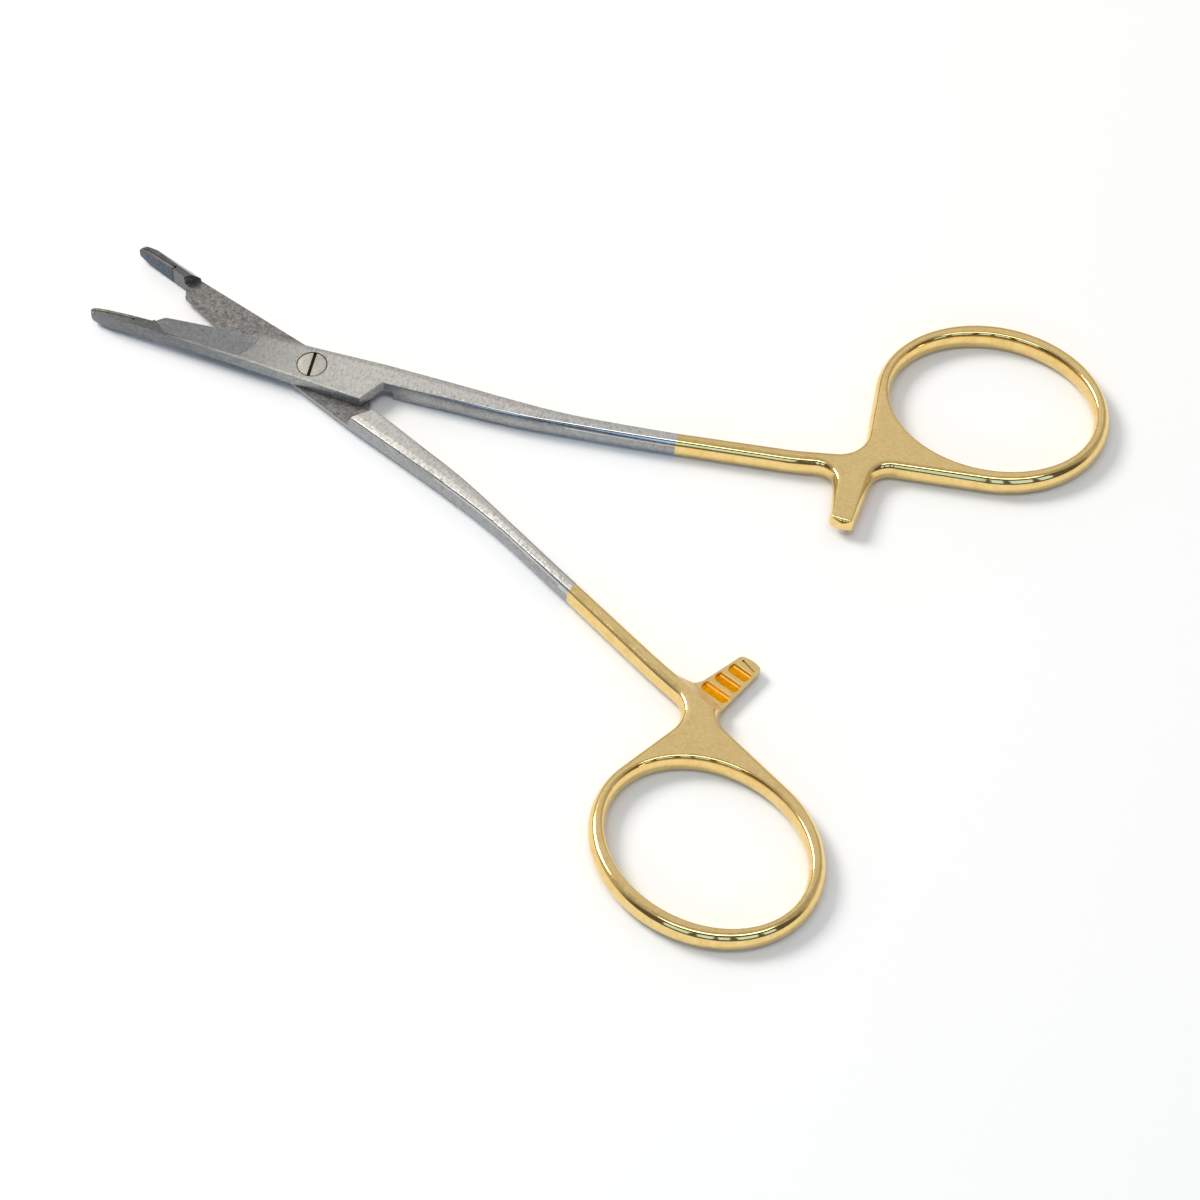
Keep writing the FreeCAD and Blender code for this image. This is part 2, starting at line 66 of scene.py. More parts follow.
TOOTHED_FACE = 0.06          # the toothed face above the lap plane
GROOVE_STARTS = (0.15, 2.05, 3.95)
GROOVE_WIDTH = 1.36
GRIND_START, GRIND_SLANT = -20.4, 1.4        # front of the blade's hollow and its slant
GRIND_FALL = 0.31            # how fast the hollow falls towards the cutting edge
PLATING_LINE = 44.3          # the gold plating begins here on the shank
SEAT_DEPTH, SEAT_END = 0.43, -22.7           # the corner that a hard plate takes up
BRAZE_GAP = 0.1
PIN_HOLE, THREAD_HOLE = 1.18, 0.93           # radii of the bores
SCREW_HEAD, HEAD_PLAY = 1.8, 0.03
SCREW_SEAT_FLOOR = 0.72
SLOT_TURN = 107              # degrees from +X to the driver slot
SLOT_DEPTH, SLOT_HALF_WIDTH = 0.4, 0.2
CRISP = math.radians(24)     # from this angle an edge between two faces stays crisp
RELIEF = 0.02 * MM           # height of the finishes' fine relief


# ---------------------------------------------------------------- materials

def tint(hex_colour):
    """An sRGB hex value as the linear colour that a shader wants."""
    channels = [int(hex_colour[i:i + 2], 16) / 255 for i in (1, 3, 5)]
    linear = [c / 12.92 if c <= 0.04045 else ((c + 0.055) / 1.055) ** 2.4 for c in channels]
    return (*linear, 1.0)


def add(tree, kind, settings=None, **links):
    """Adds one node. Settings are its properties, its unlinked inputs, or as "stops" the places
    and hex colours of a colour ramp. Links feed its inputs; i0 is the input with number 0."""
    node = tree.nodes.new("ShaderNode" + kind)
    for name, value in (settings or {}).items():
        if name == "stops":
            band = node.color_ramp.elements
            while len(band) < len(value):
                band.new(0.5)
            for element, (position, colour) in zip(band, value):
                element.position = position
                element.color = tint(colour)
        elif isinstance(name, str) and hasattr(node, name):
            setattr(node, name, value)
        else:
            node.inputs[name].default_value = value
    for name, source in links.items():
        numbered = name[0] == "i" and name[1:].isdigit()
        key = int(name[1:]) if numbered else name.replace("_", " ")
        tree.links.new(source, node.inputs[key])
    return node


def metal(name, base, light, dark, roughness, grain_mm, turn=0.0, stretch=1.0, bump=0.3,
          cloud_mm=1.8, cloud=0.5, stains=0.0, stain_mm=0.7, stain_colour="#5E5A55",
          fade=None, rim="#FFFFFF"):
    """A bare or plated metal: fine ground grain along one direction, cloudy colour and gloss,
    small stains. Fade is (start, end, colour, roughness): between these places along the arm,
    in mm, the finish passes over to another colour and roughness. Rim is the sheen's colour
    at a glancing angle."""
    material = bpy.data.materials.new(name)
    material.use_nodes = True
    tree = material.node_tree
    shader = tree.nodes["Principled BSDF"]
    shader.inputs["Metallic"].default_value = 1.0
    shader.inputs["Specular Tint"].default_value = tint(rim)
    tones = [(0.3, dark), (0.5, base), (0.7, light)]
    place = add(tree, "TexCoord").outputs["Object"]
    turned = add(tree, "Mapping", {"vector_type": "TEXTURE", "Scale": (1.0, 1 / stretch, 1.0),
                                   "Rotation": (0, 0, math.radians(-turn))},
                 Vector=place).outputs["Vector"]
    grain = add(tree, "TexNoise", {"Scale": 1 / (grain_mm * MM), "Detail": 3.0, "Roughness": 0.65},
                Vector=turned).outputs["Fac"]
    clouds = add(tree, "TexNoise", {"Scale": 1 / (cloud_mm * MM), "Detail": 5.0,
                                    "Roughness": 0.65}, Vector=place).outputs["Fac"]
    cloudy = add(tree, "ValToRGB", {"stops": tones}, i0=clouds).outputs["Color"]
    grained = add(tree, "ValToRGB", {"stops": tones}, i0=grain).outputs["Color"]
    colour = add(tree, "Mix", {"data_type": "RGBA", 0: cloud}, i6=grained, i7=cloudy).outputs[2]
    if stains:
        spot = add(tree, "TexNoise", {"Scale": 1 / (stain_mm * MM), "Detail": 3.0,
                                      "Roughness": 0.6}, Vector=place).outputs["Fac"]
        share = add(tree, "MapRange", {"From Min": 0.54, "From Max": 0.74, "To Max": stains},
                    Value=spot).outputs["Result"]
        colour = add(tree, "Mix", {"data_type": "RGBA", 7: tint(stain_colour)},
                     i0=share, i6=colour).outputs[2]
    both = add(tree, "Math", {"operation": "ADD"}, i0=grain, i1=clouds).outputs["Value"]
    gloss = add(tree, "MapRange", {"From Min": 0.7, "From Max": 1.3, "To Min": roughness * 0.75,
                                   "To Max": roughness * 1.25}, Value=both).outputs["Result"]
    if fade:
        start, end, faded_colour, faded_roughness = fade
        along = add(tree, "SeparateXYZ", Vector=turned).outputs["X"]
        share = add(tree, "MapRange", {"interpolation_type": "SMOOTHSTEP", "From Min": start * MM,
                                       "From Max": end * MM}, Value=along).outputs["Result"]
        colour = add(tree, "Mix", {"data_type": "RGBA", "blend_type": "MULTIPLY",
                                   7: tint(faded_colour)}, i0=share, i6=colour).outputs[2]
        gloss = add(tree, "Math", {"operation": "MULTIPLY_ADD", 1: faded_roughness - roughness},
                    i0=share, i2=gloss).outputs["Value"]
    relief = add(tree, "Bump", {"Strength": bump, "Distance": RELIEF}, Height=grain)
    tree.links.new(colour, shader.inputs["Base Color"])
    tree.links.new(gloss, shader.inputs["Roughness"])
    tree.links.new(relief.outputs["Normal"], shader.inputs["Normal"])
    return material


def arm_metals(side, turn):
    """The finishes of one arm, in the order of the finish numbers below. Turn lays the grain
    across this arm."""
    return [
        # Stainless steel, belt-ground and brushed across the arm: soft warm sheen, fine short
        # lines; the jaw is blasted darker.
        metal(f"belt_ground_stainless_steel_{side}", "#CAC8C4", "#DEDCD9", "#ACAAA6",
              roughness=0.31, grain_mm=0.24, turn=turn, stretch=0.4, bump=0.06,
              cloud=0.35, cloud_mm=0.5, fade=(8, -21, "#7E8084", 0.38)),
        # Stainless steel, edges rounded on a felt wheel: clear reflections, still matte near
        # the screw.
        metal(f"buffed_edge_stainless_steel_{side}", "#BDBFC2", "#C8CACD", "#AEB0B3",
              roughness=0.13, grain_mm=0.5, turn=turn, stretch=0.4, bump=0.05,
              fade=(27, 16, "#E2E2E2", 0.30)),
        # Stainless steel, sides as they leave the blasting drum: matte mid-grey, darkest at
        # the jaw.
        metal(f"blasted_side_stainless_steel_{side}", "#A4A4A4", "#C4C4C3", "#7A7A7C",
              roughness=0.40, grain_mm=0.22, turn=turn, stretch=0.8, bump=0.6,
              cloud=0.35, cloud_mm=0.6, stains=0.25, fade=(6, -18, "#C3C5C8", 0.42)),
        # Stainless steel, wheel-ground blade hollow: cool matte grey with faint stains.
        metal(f"wheel_ground_blade_steel_{side}", "#A2A4A7", "#BCBEC1", "#808285",
              roughness=0.36, grain_mm=0.24, turn=turn + 20, stretch=0.7, bump=0.4,
              cloud=0.35, cloud_mm=0.5, stains=0.25, stain_mm=0.5),
        # Stainless steel, milled lap faces and bores: plain matte grey with darker stains.
        metal(f"milled_lap_steel_{side}", "#807E7D", "#A6A4A2", "#565454",
              roughness=0.46, grain_mm=0.24, turn=turn + 60, stretch=0.8, bump=0.5,
              cloud=0.4, cloud_mm=0.6, stains=0.7, stain_mm=0.5, stain_colour="#3A3736"),
        # Silver braze in the gap round a hard plate: tarnished and dark.
        metal(f"tarnished_braze_{side}", "#332F2B", "#433D38", "#211E1B",
              roughness=0.6, grain_mm=0.2, bump=0.8),
        # Gold plating over ground steel: satin tan-gold, grain along the arm.
        metal(f"satin_gold_plating_{side}", "#E2C68A", "#EACF97", "#D5B578",
              roughness=0.22, grain_mm=0.22, turn=turn + 90, stretch=0.4, bump=0.06,
              cloud=0.4, cloud_mm=1.2, stains=0.08, stain_mm=0.4, stain_colour="#8A6E3A"),
        # Gold plating over buffed edges: clear and bright.
        metal(f"bright_gold_plating_{side}", "#F0D08A", "#F5DA9A", "#E2BE76",
              roughness=0.07, grain_mm=0.5, turn=turn, stretch=0.7, bump=0.03,
              stains=0.1, stain_mm=0.5, stain_colour="#9A7A3C"),
        # Gold plating on the unpolished groove faces: matte gold, painted a deep orange (its
        # glancing sheen too) as painted reflection of the light bouncing between the groove's gold
        # faces.
        metal(f"matte_groove_gold_painted_reflection_{side}", "#F5A800", "#FFC420", "#E08600",
              roughness=0.5, grain_mm=0.2, turn=turn, bump=0.6,
              cloud=0.6, cloud_mm=0.5, rim="#F5A800"),
        # Gold plating over a blasted shoulder at the root of the teeth: pale and matte.
        metal(f"blasted_root_gold_{side}", "#F0D9A6", "#F6E3B8", "#E2C88F",
              roughness=0.6, grain_mm=0.2, turn=turn, bump=0.8),
        # Gold plating on each groove's broken edge and on the line along its foot, painted pale as
        # a highlight: pale and clear.
        metal(f"tooth_line_gold_painted_highlight_{side}", "#FFE490", "#FFEEB0", "#F8D070",
              roughness=0.3, grain_mm=0.3, turn=turn, bump=0.1),
    ]


# The finish numbers.
(FLAT, EDGE, SIDE, GRIND, MILLED, BRAZE,
 GOLD_FLAT, GOLD_EDGE, GROOVE, GOLD_ROOT, TOOTH_EDGE) = range(11)


# ---------------------------------------------------------------- outline of an arm

def meeting_point(point, direction, other_point, other_direction):
    """Where two straight lines in the plan cross."""
    cross = direction.x * other_direction.y - direction.y * other_direction.x
    gap = other_point - point
    return point + direction * ((gap.x * other_direction.y - gap.y * other_direction.x) / cross)


def ellipse_point(axes, angle):
    """A point of the ring's or the finger hole's outline."""
    return Vector((RING_CENTRE[0] + axes[0] * math.cos(angle),
                   RING_CENTRE[1] + axes[1] * math.sin(angle)))


def rounded_run(corners, step=1.5):
    """Points along straight lines through the corners (x, y, radius, lean, facet), with an arc at
    each corner. Lean is how far the side leans in from the middle to the flat, facet the width
    of the gentle slope beside the flat; both change evenly."""
    points = []
    for index, (x, y, radius, lean, facet) in enumerate(corners):
        here = Vector((x, y))
        slope = Vector((lean, facet))
        if radius and 0 < index < len(corners) - 1:
            back = (Vector(corners[index - 1][:2]) - here).normalized()
            ahead = (Vector(corners[index + 1][:2]) - here).normalized()
            half = back.angle(ahead) / 2
            reach = radius / math.tan(half)
            centre = here + (back + ahead).normalized() * (radius / math.sin(half))
            start = here + back * reach
            sweep = math.pi - 2 * half
            turn = 1 if back.x * ahead.y - back.y * ahead.x < 0 else -1
            count = max(3, math.ceil(sweep / math.radians(5)), math.ceil(radius * sweep / step))
            for k in range(count + 1):
                spin = Matrix.Rotation(turn * sweep * k / count, 2)
                points.append((centre + spin @ (start - centre), slope))
        else:
            points.append((here, slope))
    filled = []
    for (start, slope), (end, next_slope) in zip(points, points[1:]):
        count = max(1, math.ceil((end - start).length / step))
        for k in range(count):
            filled.append((start.lerp(end, k / count), slope + (next_slope - slope) * k / count))
    filled.append(points[-1])
    return filled


def bowed(points, bow):
    """The shank pushed sideways by bow: it begins at 16 mm, is full from 44 mm and ends between
    57 and 64 mm. No two forgings are straightened alike."""
    moved = []
    for here, slope in points:
        rise = min(1.0, max(0.0, (here.x - 16) / 28))
        fall = min(1.0, max(0.0, (64 - here.x) / 7))
        share = rise * rise * (3 - 2 * rise) * fall * fall * (3 - 2 * fall)
        moved.append((Vector((here.x, here.y + bow * share)), slope))
    return moved


def arm_outline(bow):
    """The whole arm seen from above: jaw, back of blade and plate, shank, ratchet bar, ring and
    back along the other side to the cutting edge."""
    first, last = math.radians(-80), math.radians(188)     # where the ring leaves bar and shank
    ring_start, ring_end = ellipse_point(RING_OUTER, first), ellipse_point(RING_OUTER, last)
    along = [Vector((-RING_OUTER[0] * math.sin(a), RING_OUTER[1] * math.cos(a)))
             for a in (first, last)]
    far_foot = meeting_point(Vector((BAR_FAR, 0)), Vector((0, 1)), ring_start, along[0])
    bend = Vector((31, 3.5))
    root = meeting_point(ring_end, along[1], bend, Vector((64.55, 8.75)) - bend)
    inner = rounded_run([
        # gripping face, jaw tip and back of the jaw
        (-20.4, -0.03, 0, 0.03, 0),
        (-28.43, -0.03, 0.25, 0.1, 0),
        (-28.1, -0.93, 0.6, 0.26, 0.1),
        (-25.6, -1.4, 6, 0.3, 0.4),
        (-19, -1.67, 0, 0.2, 0.35),
        # back of the blade and the lap plate, with the notch behind the plate
        (0, -2.6, 0, 0.12, 0.2),
        (7.2, -3.03, 0.12, 0.10, 0),
        (8.9, 0.1, 0.4, 0.12, 0.1),
        # inner side of the shank
        (13.0, 0.183, 0, 0.22, 0.3),
        (24, 0.5, 80, 0.5, 0.3),
        (44, 3.32, 0, 0.62, 0.15),
        (62.9, 6.1, 2.4, 0.6, 0.1),
        # ratchet bar
        (BAR_NEAR, BAR_TIP, 0.62, BAR_LEAN, 0),
        (66.0, -1.46, 3.0, 0.55, 0),
        (BAR_FAR, BAR_TIP, 0.62, BAR_LEAN, 0),
        (far_foot.x, far_foot.y, 2.4, 0.6, 0.1),
        (ring_start.x, ring_start.y, 0, RING_LEAN, 0),
    ])
    turns = 134
    ring = [(ellipse_point(RING_OUTER, first + (last - first) * k / turns),
             Vector((RING_LEAN, 0))) for k in range(1, turns)]
    outer = rounded_run([
        # outer side of the shank
        (ring_end.x, ring_end.y, 0, RING_LEAN, 0),
        (root.x, root.y, 3.2, 0.6, 0.15),
        (44, 5.5, 0, 0.55, 0.3),
        (31, 3.58, 80, 0.42, 0.55),
        (22, 3.32, 0, 0.4, 0.6),
        # lap plate and cutting edge
        (8.54, 3.25, 20, 0.4, 0.5),
        (0, 2.885, 0, 0.4, 0.3),
        (-6, 2.63, 0, 0.3, 0.2),
        (-12.5, 2.35, 0, 0.08, 0),
        (-19.27, 1.45, 0.3, 0.03, 0),
        (-20.4, -0.03, 0, 0.03, 0),
    ])
    return bowed(inner, bow) + ring + bowed(outer[:-1], bow)


def side_section(form, levels=6):
    """How far the side leans in at each height, from the middle up to the flat: one arc that is
    upright in the middle, a round that is wider where the side leans more, and a gentle facet."""
    lean, facet = form
    softness = min(1.0, lean / FULL_LEAN) ** 2
    drop, shoulder = 0.06 + 0.13 * softness, 0.05 + 0.29 * softness
    brim = HALF - 0.2 * facet
    top = brim - drop
    radius = (lean * lean + HALF * HALF) / (2 * lean)
    rows = []
    for k in range(levels):
        z = top * math.sin(math.pi / 2 * k / (levels - 1)) if k < levels - 1 else top
        rows.append((z, radius - math.sqrt(radius * radius - z * z)))
    start = rows[-1][1]
    corner = start + drop * top / (radius - start)
    end = corner + shoulder
    for k in range(1, 6):
        t = k / 5
        rows.append(((1 - t) ** 2 * top + 2 * t * (1 - t) * brim + t * t * (brim + 0.03 * facet),
                     (1 - t) ** 2 * start + 2 * t * (1 - t) * corner + t * t * end))
    rows.append((HALF - 0.03 * facet, end + 0.8 * facet))
    rows.append((HALF, end + facet + 0.02))
    return rows


def wall(mesh, outline, side):
    """The upright wall round an outline: side 1 for the arm, -1 for the finger hole. Returns its
    lowest and highest loops."""
    count = len(outline)
    loops = []
    sections = [side_section(slope) for _, slope in outline]
    mitres = []
    for index, (here, _) in enumerate(outline):
        before = (here - outline[index - 1][0]).normalized()
        after = (outline[(index + 1) % count][0] - here).normalized()
        inward = [Vector((-d.y, d.x)) * side for d in (before, after)]
        mitres.append((inward[0] + inward[1]) / (1 + inward[0].dot(inward[1])))
    rows = len(sections[0])
    heights = [-row for row in range(rows - 1, 0, -1)] + list(range(rows))
    for row in heights:
        loop = []
        for (here, _), section, mitre in zip(outline, sections, mitres):
            z, lean = section[abs(row)]
            point = here + mitre * lean
            loop.append(mesh.verts.new((point.x, point.y, math.copysign(z, row))))
        loops.append(loop)
    for low, high in zip(loops, loops[1:]):
        for k in range(count):
            quad = (low[k], low[(k + 1) % count], high[(k + 1) % count], high[k])
            mesh.faces.new(quad if side > 0 else quad[::-1])
    return loops[0], loops[-1]


def forge_arm(name, materials, bow):
    """The full-thick blank of one arm with its finger hole."""
    mesh = bmesh.new()
    count = 150
    hole = [(ellipse_point(RING_HOLE, 2 * math.pi * k / count), Vector((HOLE_LEAN, 0)))
            for k in range(count)]
    outer_low, outer_high = wall(mesh, arm_outline(bow), 1)
    hole_low, hole_high = wall(mesh, hole, -1)
    for outer, inner in ((outer_low, hole_low), (outer_high, hole_high)):
        corners = outer + inner
        for triangle in tessellate_polygon([[v.co for v in outer], [v.co for v in inner]]):
            mesh.faces.new([corners[k] for k in triangle])
    bmesh.ops.recalc_face_normals(mesh, faces=mesh.faces)
    return finish_mesh(name, mesh, materials)


def finish_mesh(name, mesh, materials):
    """The mesh as an object of its own, with its finishes."""
    data = bpy.data.meshes.new(name)
    mesh.to_mesh(data)
    mesh.free()
    for material in materials:
        data.materials.append(material)
    piece = bpy.data.objects.new(name, data)
    bpy.context.scene.collection.objects.link(piece)
    return piece


# ---------------------------------------------------------------- cuts

def block(name, lower, upper, materials, slot):
    """A cutter between two outlines of as many points, at the ends of a straight run."""
    mesh = bmesh.new()
    low = [mesh.verts.new(p) for p in lower]
    high = [mesh.verts.new(p) for p in upper]
    mesh.faces.new(low)
    mesh.faces.new(high[::-1])
    for k in range(len(low)):
        mesh.faces.new((low[k], high[k], high[(k + 1) % len(low)], low[(k + 1) % len(low)]))
    bmesh.ops.recalc_face_normals(mesh, faces=mesh.faces)
    for face in mesh.faces:
        face.material_index = slot
    return finish_mesh(name, mesh, materials)


def plan_block(name, corners, low, high, materials, slot):
    """A cutter drawn from above, between two heights."""
    return block(name, [(x, y, low) for x, y in corners], [(x, y, high) for x, y in corners],
                 materials, slot)


def section_block(name, corners, start, end, materials, slot):
    """A cutter drawn across the arm, between two places along it."""
    return block(name, [(start, y, z) for y, z in corners], [(end, y, z) for y, z in corners],
                 materials, slot)


def side_block(name, corners, materials, slot):
    """A cutter drawn from the side, right through the arm."""
    return block(name, [(x, -9, z) for x, z in corners], [(x, 9, z) for x, z in corners],
                 materials, slot)


def circle(radius, count):
    """Points round the screw's axis."""
    return [(radius * math.cos(2 * math.pi * k / count), radius * math.sin(2 * math.pi * k / count))
            for k in range(count)]


def bore(name, radius, low, high, materials):
    """A round hole on the screw's axis."""
    return plan_block(name, circle(radius, 96), low, high, materials, MILLED)


def machine(piece, cutters, operation="DIFFERENCE"):
    """Cuts the cutters out of a piece (or keeps what they share) and takes them away."""
    for cutter in cutters:
        step = piece.modifiers.new("cut", "BOOLEAN")
        step.operation = operation
        step.solver = "EXACT"
        step.object = cutter
    bpy.context.view_layer.update()
    evaluated = piece.evaluated_get(bpy.context.evaluated_depsgraph_get())
    cut = bpy.data.meshes.new_from_object(evaluated)
    piece.modifiers.clear()
    piece.data = cut
    for cutter in cutters:
        bpy.data.objects.remove(cutter)


def grind_cutter(materials):
    """The hollow that the grinding wheel leaves: it begins on a slant behind the jaw, falls to
    the cutting edge and runs out in a curve ahead of the lap plate."""
    mesh = bmesh.new()
    low, high = [], []
    entry, run_out = 0.5, 1.2        # radii that the wheel leaves at the front and at the rear
    bends = [math.pi / 2 * n / 7 for n in range(8)]
    for k in range(27):
        y = -1.9 + 0.2 * k
        start = GRIND_START + GRIND_SLANT * (0.3 - y)
        end = -7.35 - 1.2 * ((2.0 - y) / 3.3) ** 3
        run = [(start - 0.4, HALF + 0.25)]
        run += [(start + entry * (1 - math.cos(a)), HALF - entry * math.sin(a)) for a in bends]
        run += [(start + entry + (end - 1.7 - start) * n / 6, -1) for n in range(1, 6)]
        run += [(end - run_out * (1 - math.cos(0.6 * a)), HALF - run_out * math.sin(0.6 * a))
                for a in reversed(bends)]
        run += [(end + 0.4, HALF + 0.25)]
        floor = [HALF - GRIND_FALL * (y + 1.35 + 0.036 * (x + 20)) for x, _ in run]
        low.append([mesh.verts.new((x, y, max(z, least))) for (x, z), least in zip(run, floor)])
        high.append([mesh.verts.new((x, y, 2.6)) for x, _ in run])
    for near, far, turned in ((low, low, False), (high, high, True)):
        for one, other in zip(near, far[1:]):
            for k in range(len(one) - 1):
                quad = (one[k], one[k + 1], other[k + 1], other[k])
                mesh.faces.new(quad[::-1] if turned else quad)
    rims = [(low[0], high[0]), (low[-1], high[-1]),
            ([row[0] for row in low], [row[0] for row in high]),
            ([row[-1] for row in low], [row[-1] for row in high])]
    for under, over in rims:
        for k in range(len(under) - 1):
            mesh.faces.new((under[k], under[k + 1], over[k + 1], over[k]))
    bmesh.ops.recalc_face_normals(mesh, faces=mesh.faces)
    for face in mesh.faces:
        face.material_index = GRIND
        face.smooth = True
    return finish_mesh("grind", mesh, materials)


def groove_cutter(start, materials):
    """One tooth groove across the ratchet bar: a broken edge, a steep step on the side of the
    bar's tip, a line along its foot and a long slope up towards the shank. Edge and foot line
    take a paler gold as a painted highlight. Its ends are round and stay inside the bar."""
    near = BAR_NEAR - BAR_TAPER * (start + GROOVE_WIDTH / 2 - BAR_TIP) + 0.3
    far, end_round = 67.18, 0.5
    end, edge = start + GROOVE_WIDTH, start - 0.12
    section = [(edge, TOOTHED_FACE), (start, 0.075), (start + 0.2, 0.3), (start + 0.34, 0.32),
               (end, TOOTHED_FACE), (end, -1), (edge, -1)]
    # The groove's faces take the matte gold whose deep orange is painted reflection.
    groove = section_block("groove", section, near - 1, far + 1, materials, GROOVE)
    for face in groove.data.polygons:
        # The broken edge and the foot line take the paler gold, a painted highlight.
        if face.normal.z > 0.9 and face.normal.y < 0:
            face.material_index = TOOTH_EDGE
    plan = []
    for x, first in ((far - end_round, -math.pi / 2), (near + end_round, math.pi / 2)):
        for k in range(13):
            a = first + math.pi * k / 12
            plan.append((x + end_round * math.cos(a),
                         start - 0.13 + (GROOVE_WIDTH + 0.14) / 2 * (1 + math.sin(a))))
    machine(groove, [plan_block("groove_ends", plan, -2, 2, materials, GROOVE)], "INTERSECT")
    return groove


def arm_cutters(materials):
    """What the machinist takes off every forging."""
    reach = 4.2                      # how far the cuts reach to both sides
    front, rear = -20.8, 10.2        # the lap cut's shoulders on the arm's middle line
    lap = plan_block("lap", [(front + reach * HEEL_LEAN, -reach),
                             (rear + reach * SHOULDER_LEAN, -reach),
                             (rear - reach * SHOULDER_LEAN, reach),
                             (front - reach * HEEL_LEAN, reach)], -3, LAP, materials, MILLED)
    nose = [(-14, 1.45), (-23.0, 1.3), (-26.0, 1.08), (-27.1, 0.9), (-27.7, 0.72), (-28.1, 0.52),
            (-28.32, 0.33), (-28.43, 0.12), (-30, 0.1), (-30, 3), (-14, 3)]
    taper = [side_block("taper", [(x, z * s) for x, z in nose], materials, FLAT) for s in (1, -1)]
    bevel = section_block("jaw_bevel", [(-0.8, -HALF), (-0.8, -3), (-4, -3), (-4, 2.3),
                                        (-2.0, -LAP)], -31, -12.5, materials, EDGE)
    edge_line = plan_block("edge_line", [(-19.9, 0.9), (-12.9, 1.98), (-12.4, 2.7), (-19.9, 1.9)],
                           -1, LAP + 0.06, materials, MILLED)
    bar = block("ratchet_half",
                [(58, -4, -1.6), (70, -4, -1.6), (70, 7.75, -1.6), (60.4, 6.6, -1.6)],
                [(x, y, TOOTHED_FACE) for x, y in ((58, -4), (70, -4), (70, 6.2), (60.4, 4.9))],
                materials, GOLD_FLAT)
    grooves = [groove_cutter(start, materials) for start in GROOVE_STARTS]
    nick = plan_block("nick", [(65.0, -0.86), (67.0, -0.42), (66.95, -0.18), (64.95, -0.62)],
                      -1, 0.3, materials, GOLD_EDGE)
    return [lap, grind_cutter(materials), *taper, bevel, edge_line, bar, *grooves, nick]


def insert_seat(materials, room=0.0):
    """The corner of a jaw that the hard plate takes up. Room is the brazing gap round it."""
    depth, end = SEAT_DEPTH + room, SEAT_END + room
    return plan_block("insert_seat", [(-30, -depth), (end, -depth), (end, 1), (-30, 1)],
                      -3, 3, materials, BRAZE)


def seat_relief(materials):
    """The small round relief in the inner corner of the seat."""
    spot = [(x - 22.6, y - 0.5) for x, y in circle(0.16, 16)]
    return plan_block("seat_relief", spot, -3, 3, materials, BRAZE)


def dress(piece):
    """Names each face's finish, splits the arm where the plating begins and marks crisp edges."""
    mesh = bmesh.new()
    mesh.from_mesh(piece.data)
    bmesh.ops.bisect_plane(mesh, geom=mesh.verts[:] + mesh.edges[:] + mesh.faces[:], dist=1e-5,
                           plane_co=(PLATING_LINE, 0, 0), plane_no=(1, 0, 0))
    mesh.normal_update()
    for face in mesh.faces:
        gold = face.calc_center_median().x > PLATING_LINE
        level = abs(face.normal.z) > 0.95
        if face.material_index == FLAT:
            wall = EDGE if abs(face.normal.z) > 0.38 else SIDE
            if gold:
                face.material_index = GOLD_FLAT if level else GOLD_EDGE
            else:
                face.material_index = FLAT if level else wall
        elif face.material_index == GOLD_FLAT and not level:
            face.material_index = GOLD_ROOT
        face.smooth = True
    for edge in mesh.edges:
        if len(edge.link_faces) != 2:
            continue
        one, other = edge.link_faces
        flat = [abs(f.normal.z) > 0.9995 for f in (one, other)]
        edge.smooth = edge.calc_face_angle(0) < CRISP and flat[0] == flat[1]
    mesh.to_mesh(piece.data)
    mesh.free()


def place(piece, matrix):
    """Moves the mesh itself from the closed frame in millimetres to its place in metres."""
    piece.data.transform(Matrix.Scale(MM, 4) @ matrix)
    piece.data.update()


def make_arms():
    """Both arms and their hard plates, each in its place at rest and on its body."""
    lift = Matrix.Translation((0, 0, HALF))
    swing = lift @ Matrix.Rotation(math.radians(OPENING / 2), 4, "Z")
    flip = (lift @ Matrix.Rotation(math.radians(-OPENING / 2), 4, "Z")
            @ Matrix.Rotation(math.pi, 4, "X"))
    hard = hard_plate_metal()
    for side, matrix, turn in (("upper", swing, -OPENING / 2), ("lower", flip, OPENING / 2)):
        metals = arm_metals(side, turn)
        arm = forge_arm(f"{side}_arm_forging", metals, BOWS[side])
        if side == "upper":
            bores = [bore("pin_hole", PIN_HOLE, -3, 3, metals),
                     bore("head_seat", SCREW_HEAD + HEAD_PLAY, SCREW_SEAT_FLOOR, 3, metals)]
        else:
            bores = [bore("thread_hole", THREAD_HOLE, -3, 3, metals)]
        machine(arm, arm_cutters(metals) + bores)
        plate = bpy.data.objects.new(f"{side}_hard_jaw_plate", arm.data.copy())
        bpy.context.scene.collection.objects.link(plate)
        machine(plate, [insert_seat(metals)], "INTERSECT")
        machine(arm, [insert_seat(metals, room=BRAZE_GAP), seat_relief(metals)])
        dress(arm)
        dress(plate)
        plate.data.materials.clear()
        for material in hard:
            plate.data.materials.append(material)
        for face in plate.data.polygons:
            # The gripping face takes the dark slate, which is partly painted shade.
            face.material_index = 0 if face.normal.y > 0.7 else 1
        for piece in (arm, plate):
            place(piece, matrix)
        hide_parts(f"{side}_arm")
        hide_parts(f"{side}_jaw_insert")
        for piece in (arm, plate):
            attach(piece, f"{side}_half")


# ---------------------------------------------------------------- hard plates and screw

def hard_plate_metal():
    """The two finishes of a hard plate."""
    return [
        # Tungsten carbide, gripping face ground in a fine cross pattern: dark slate, dull sheen.
        # The dark slate is partly the carbide's own tone and partly painted shade on the gripping
        # face.
        metal("cross_ground_carbide_painted_shade", "#505A66", "#7C8896", "#2C333C",
              roughness=0.42, grain_mm=0.22, turn=45, stretch=0.5, bump=1.0, cloud=0.1),
        # Tungsten carbide, ground flush with the jaw: brownish grey, darker than the steel.
        metal("flush_ground_carbide", "#76716C", "#8A8580", "#5E5955",
              roughness=0.38, grain_mm=0.15, turn=20, stretch=0.5, bump=0.5),
    ]


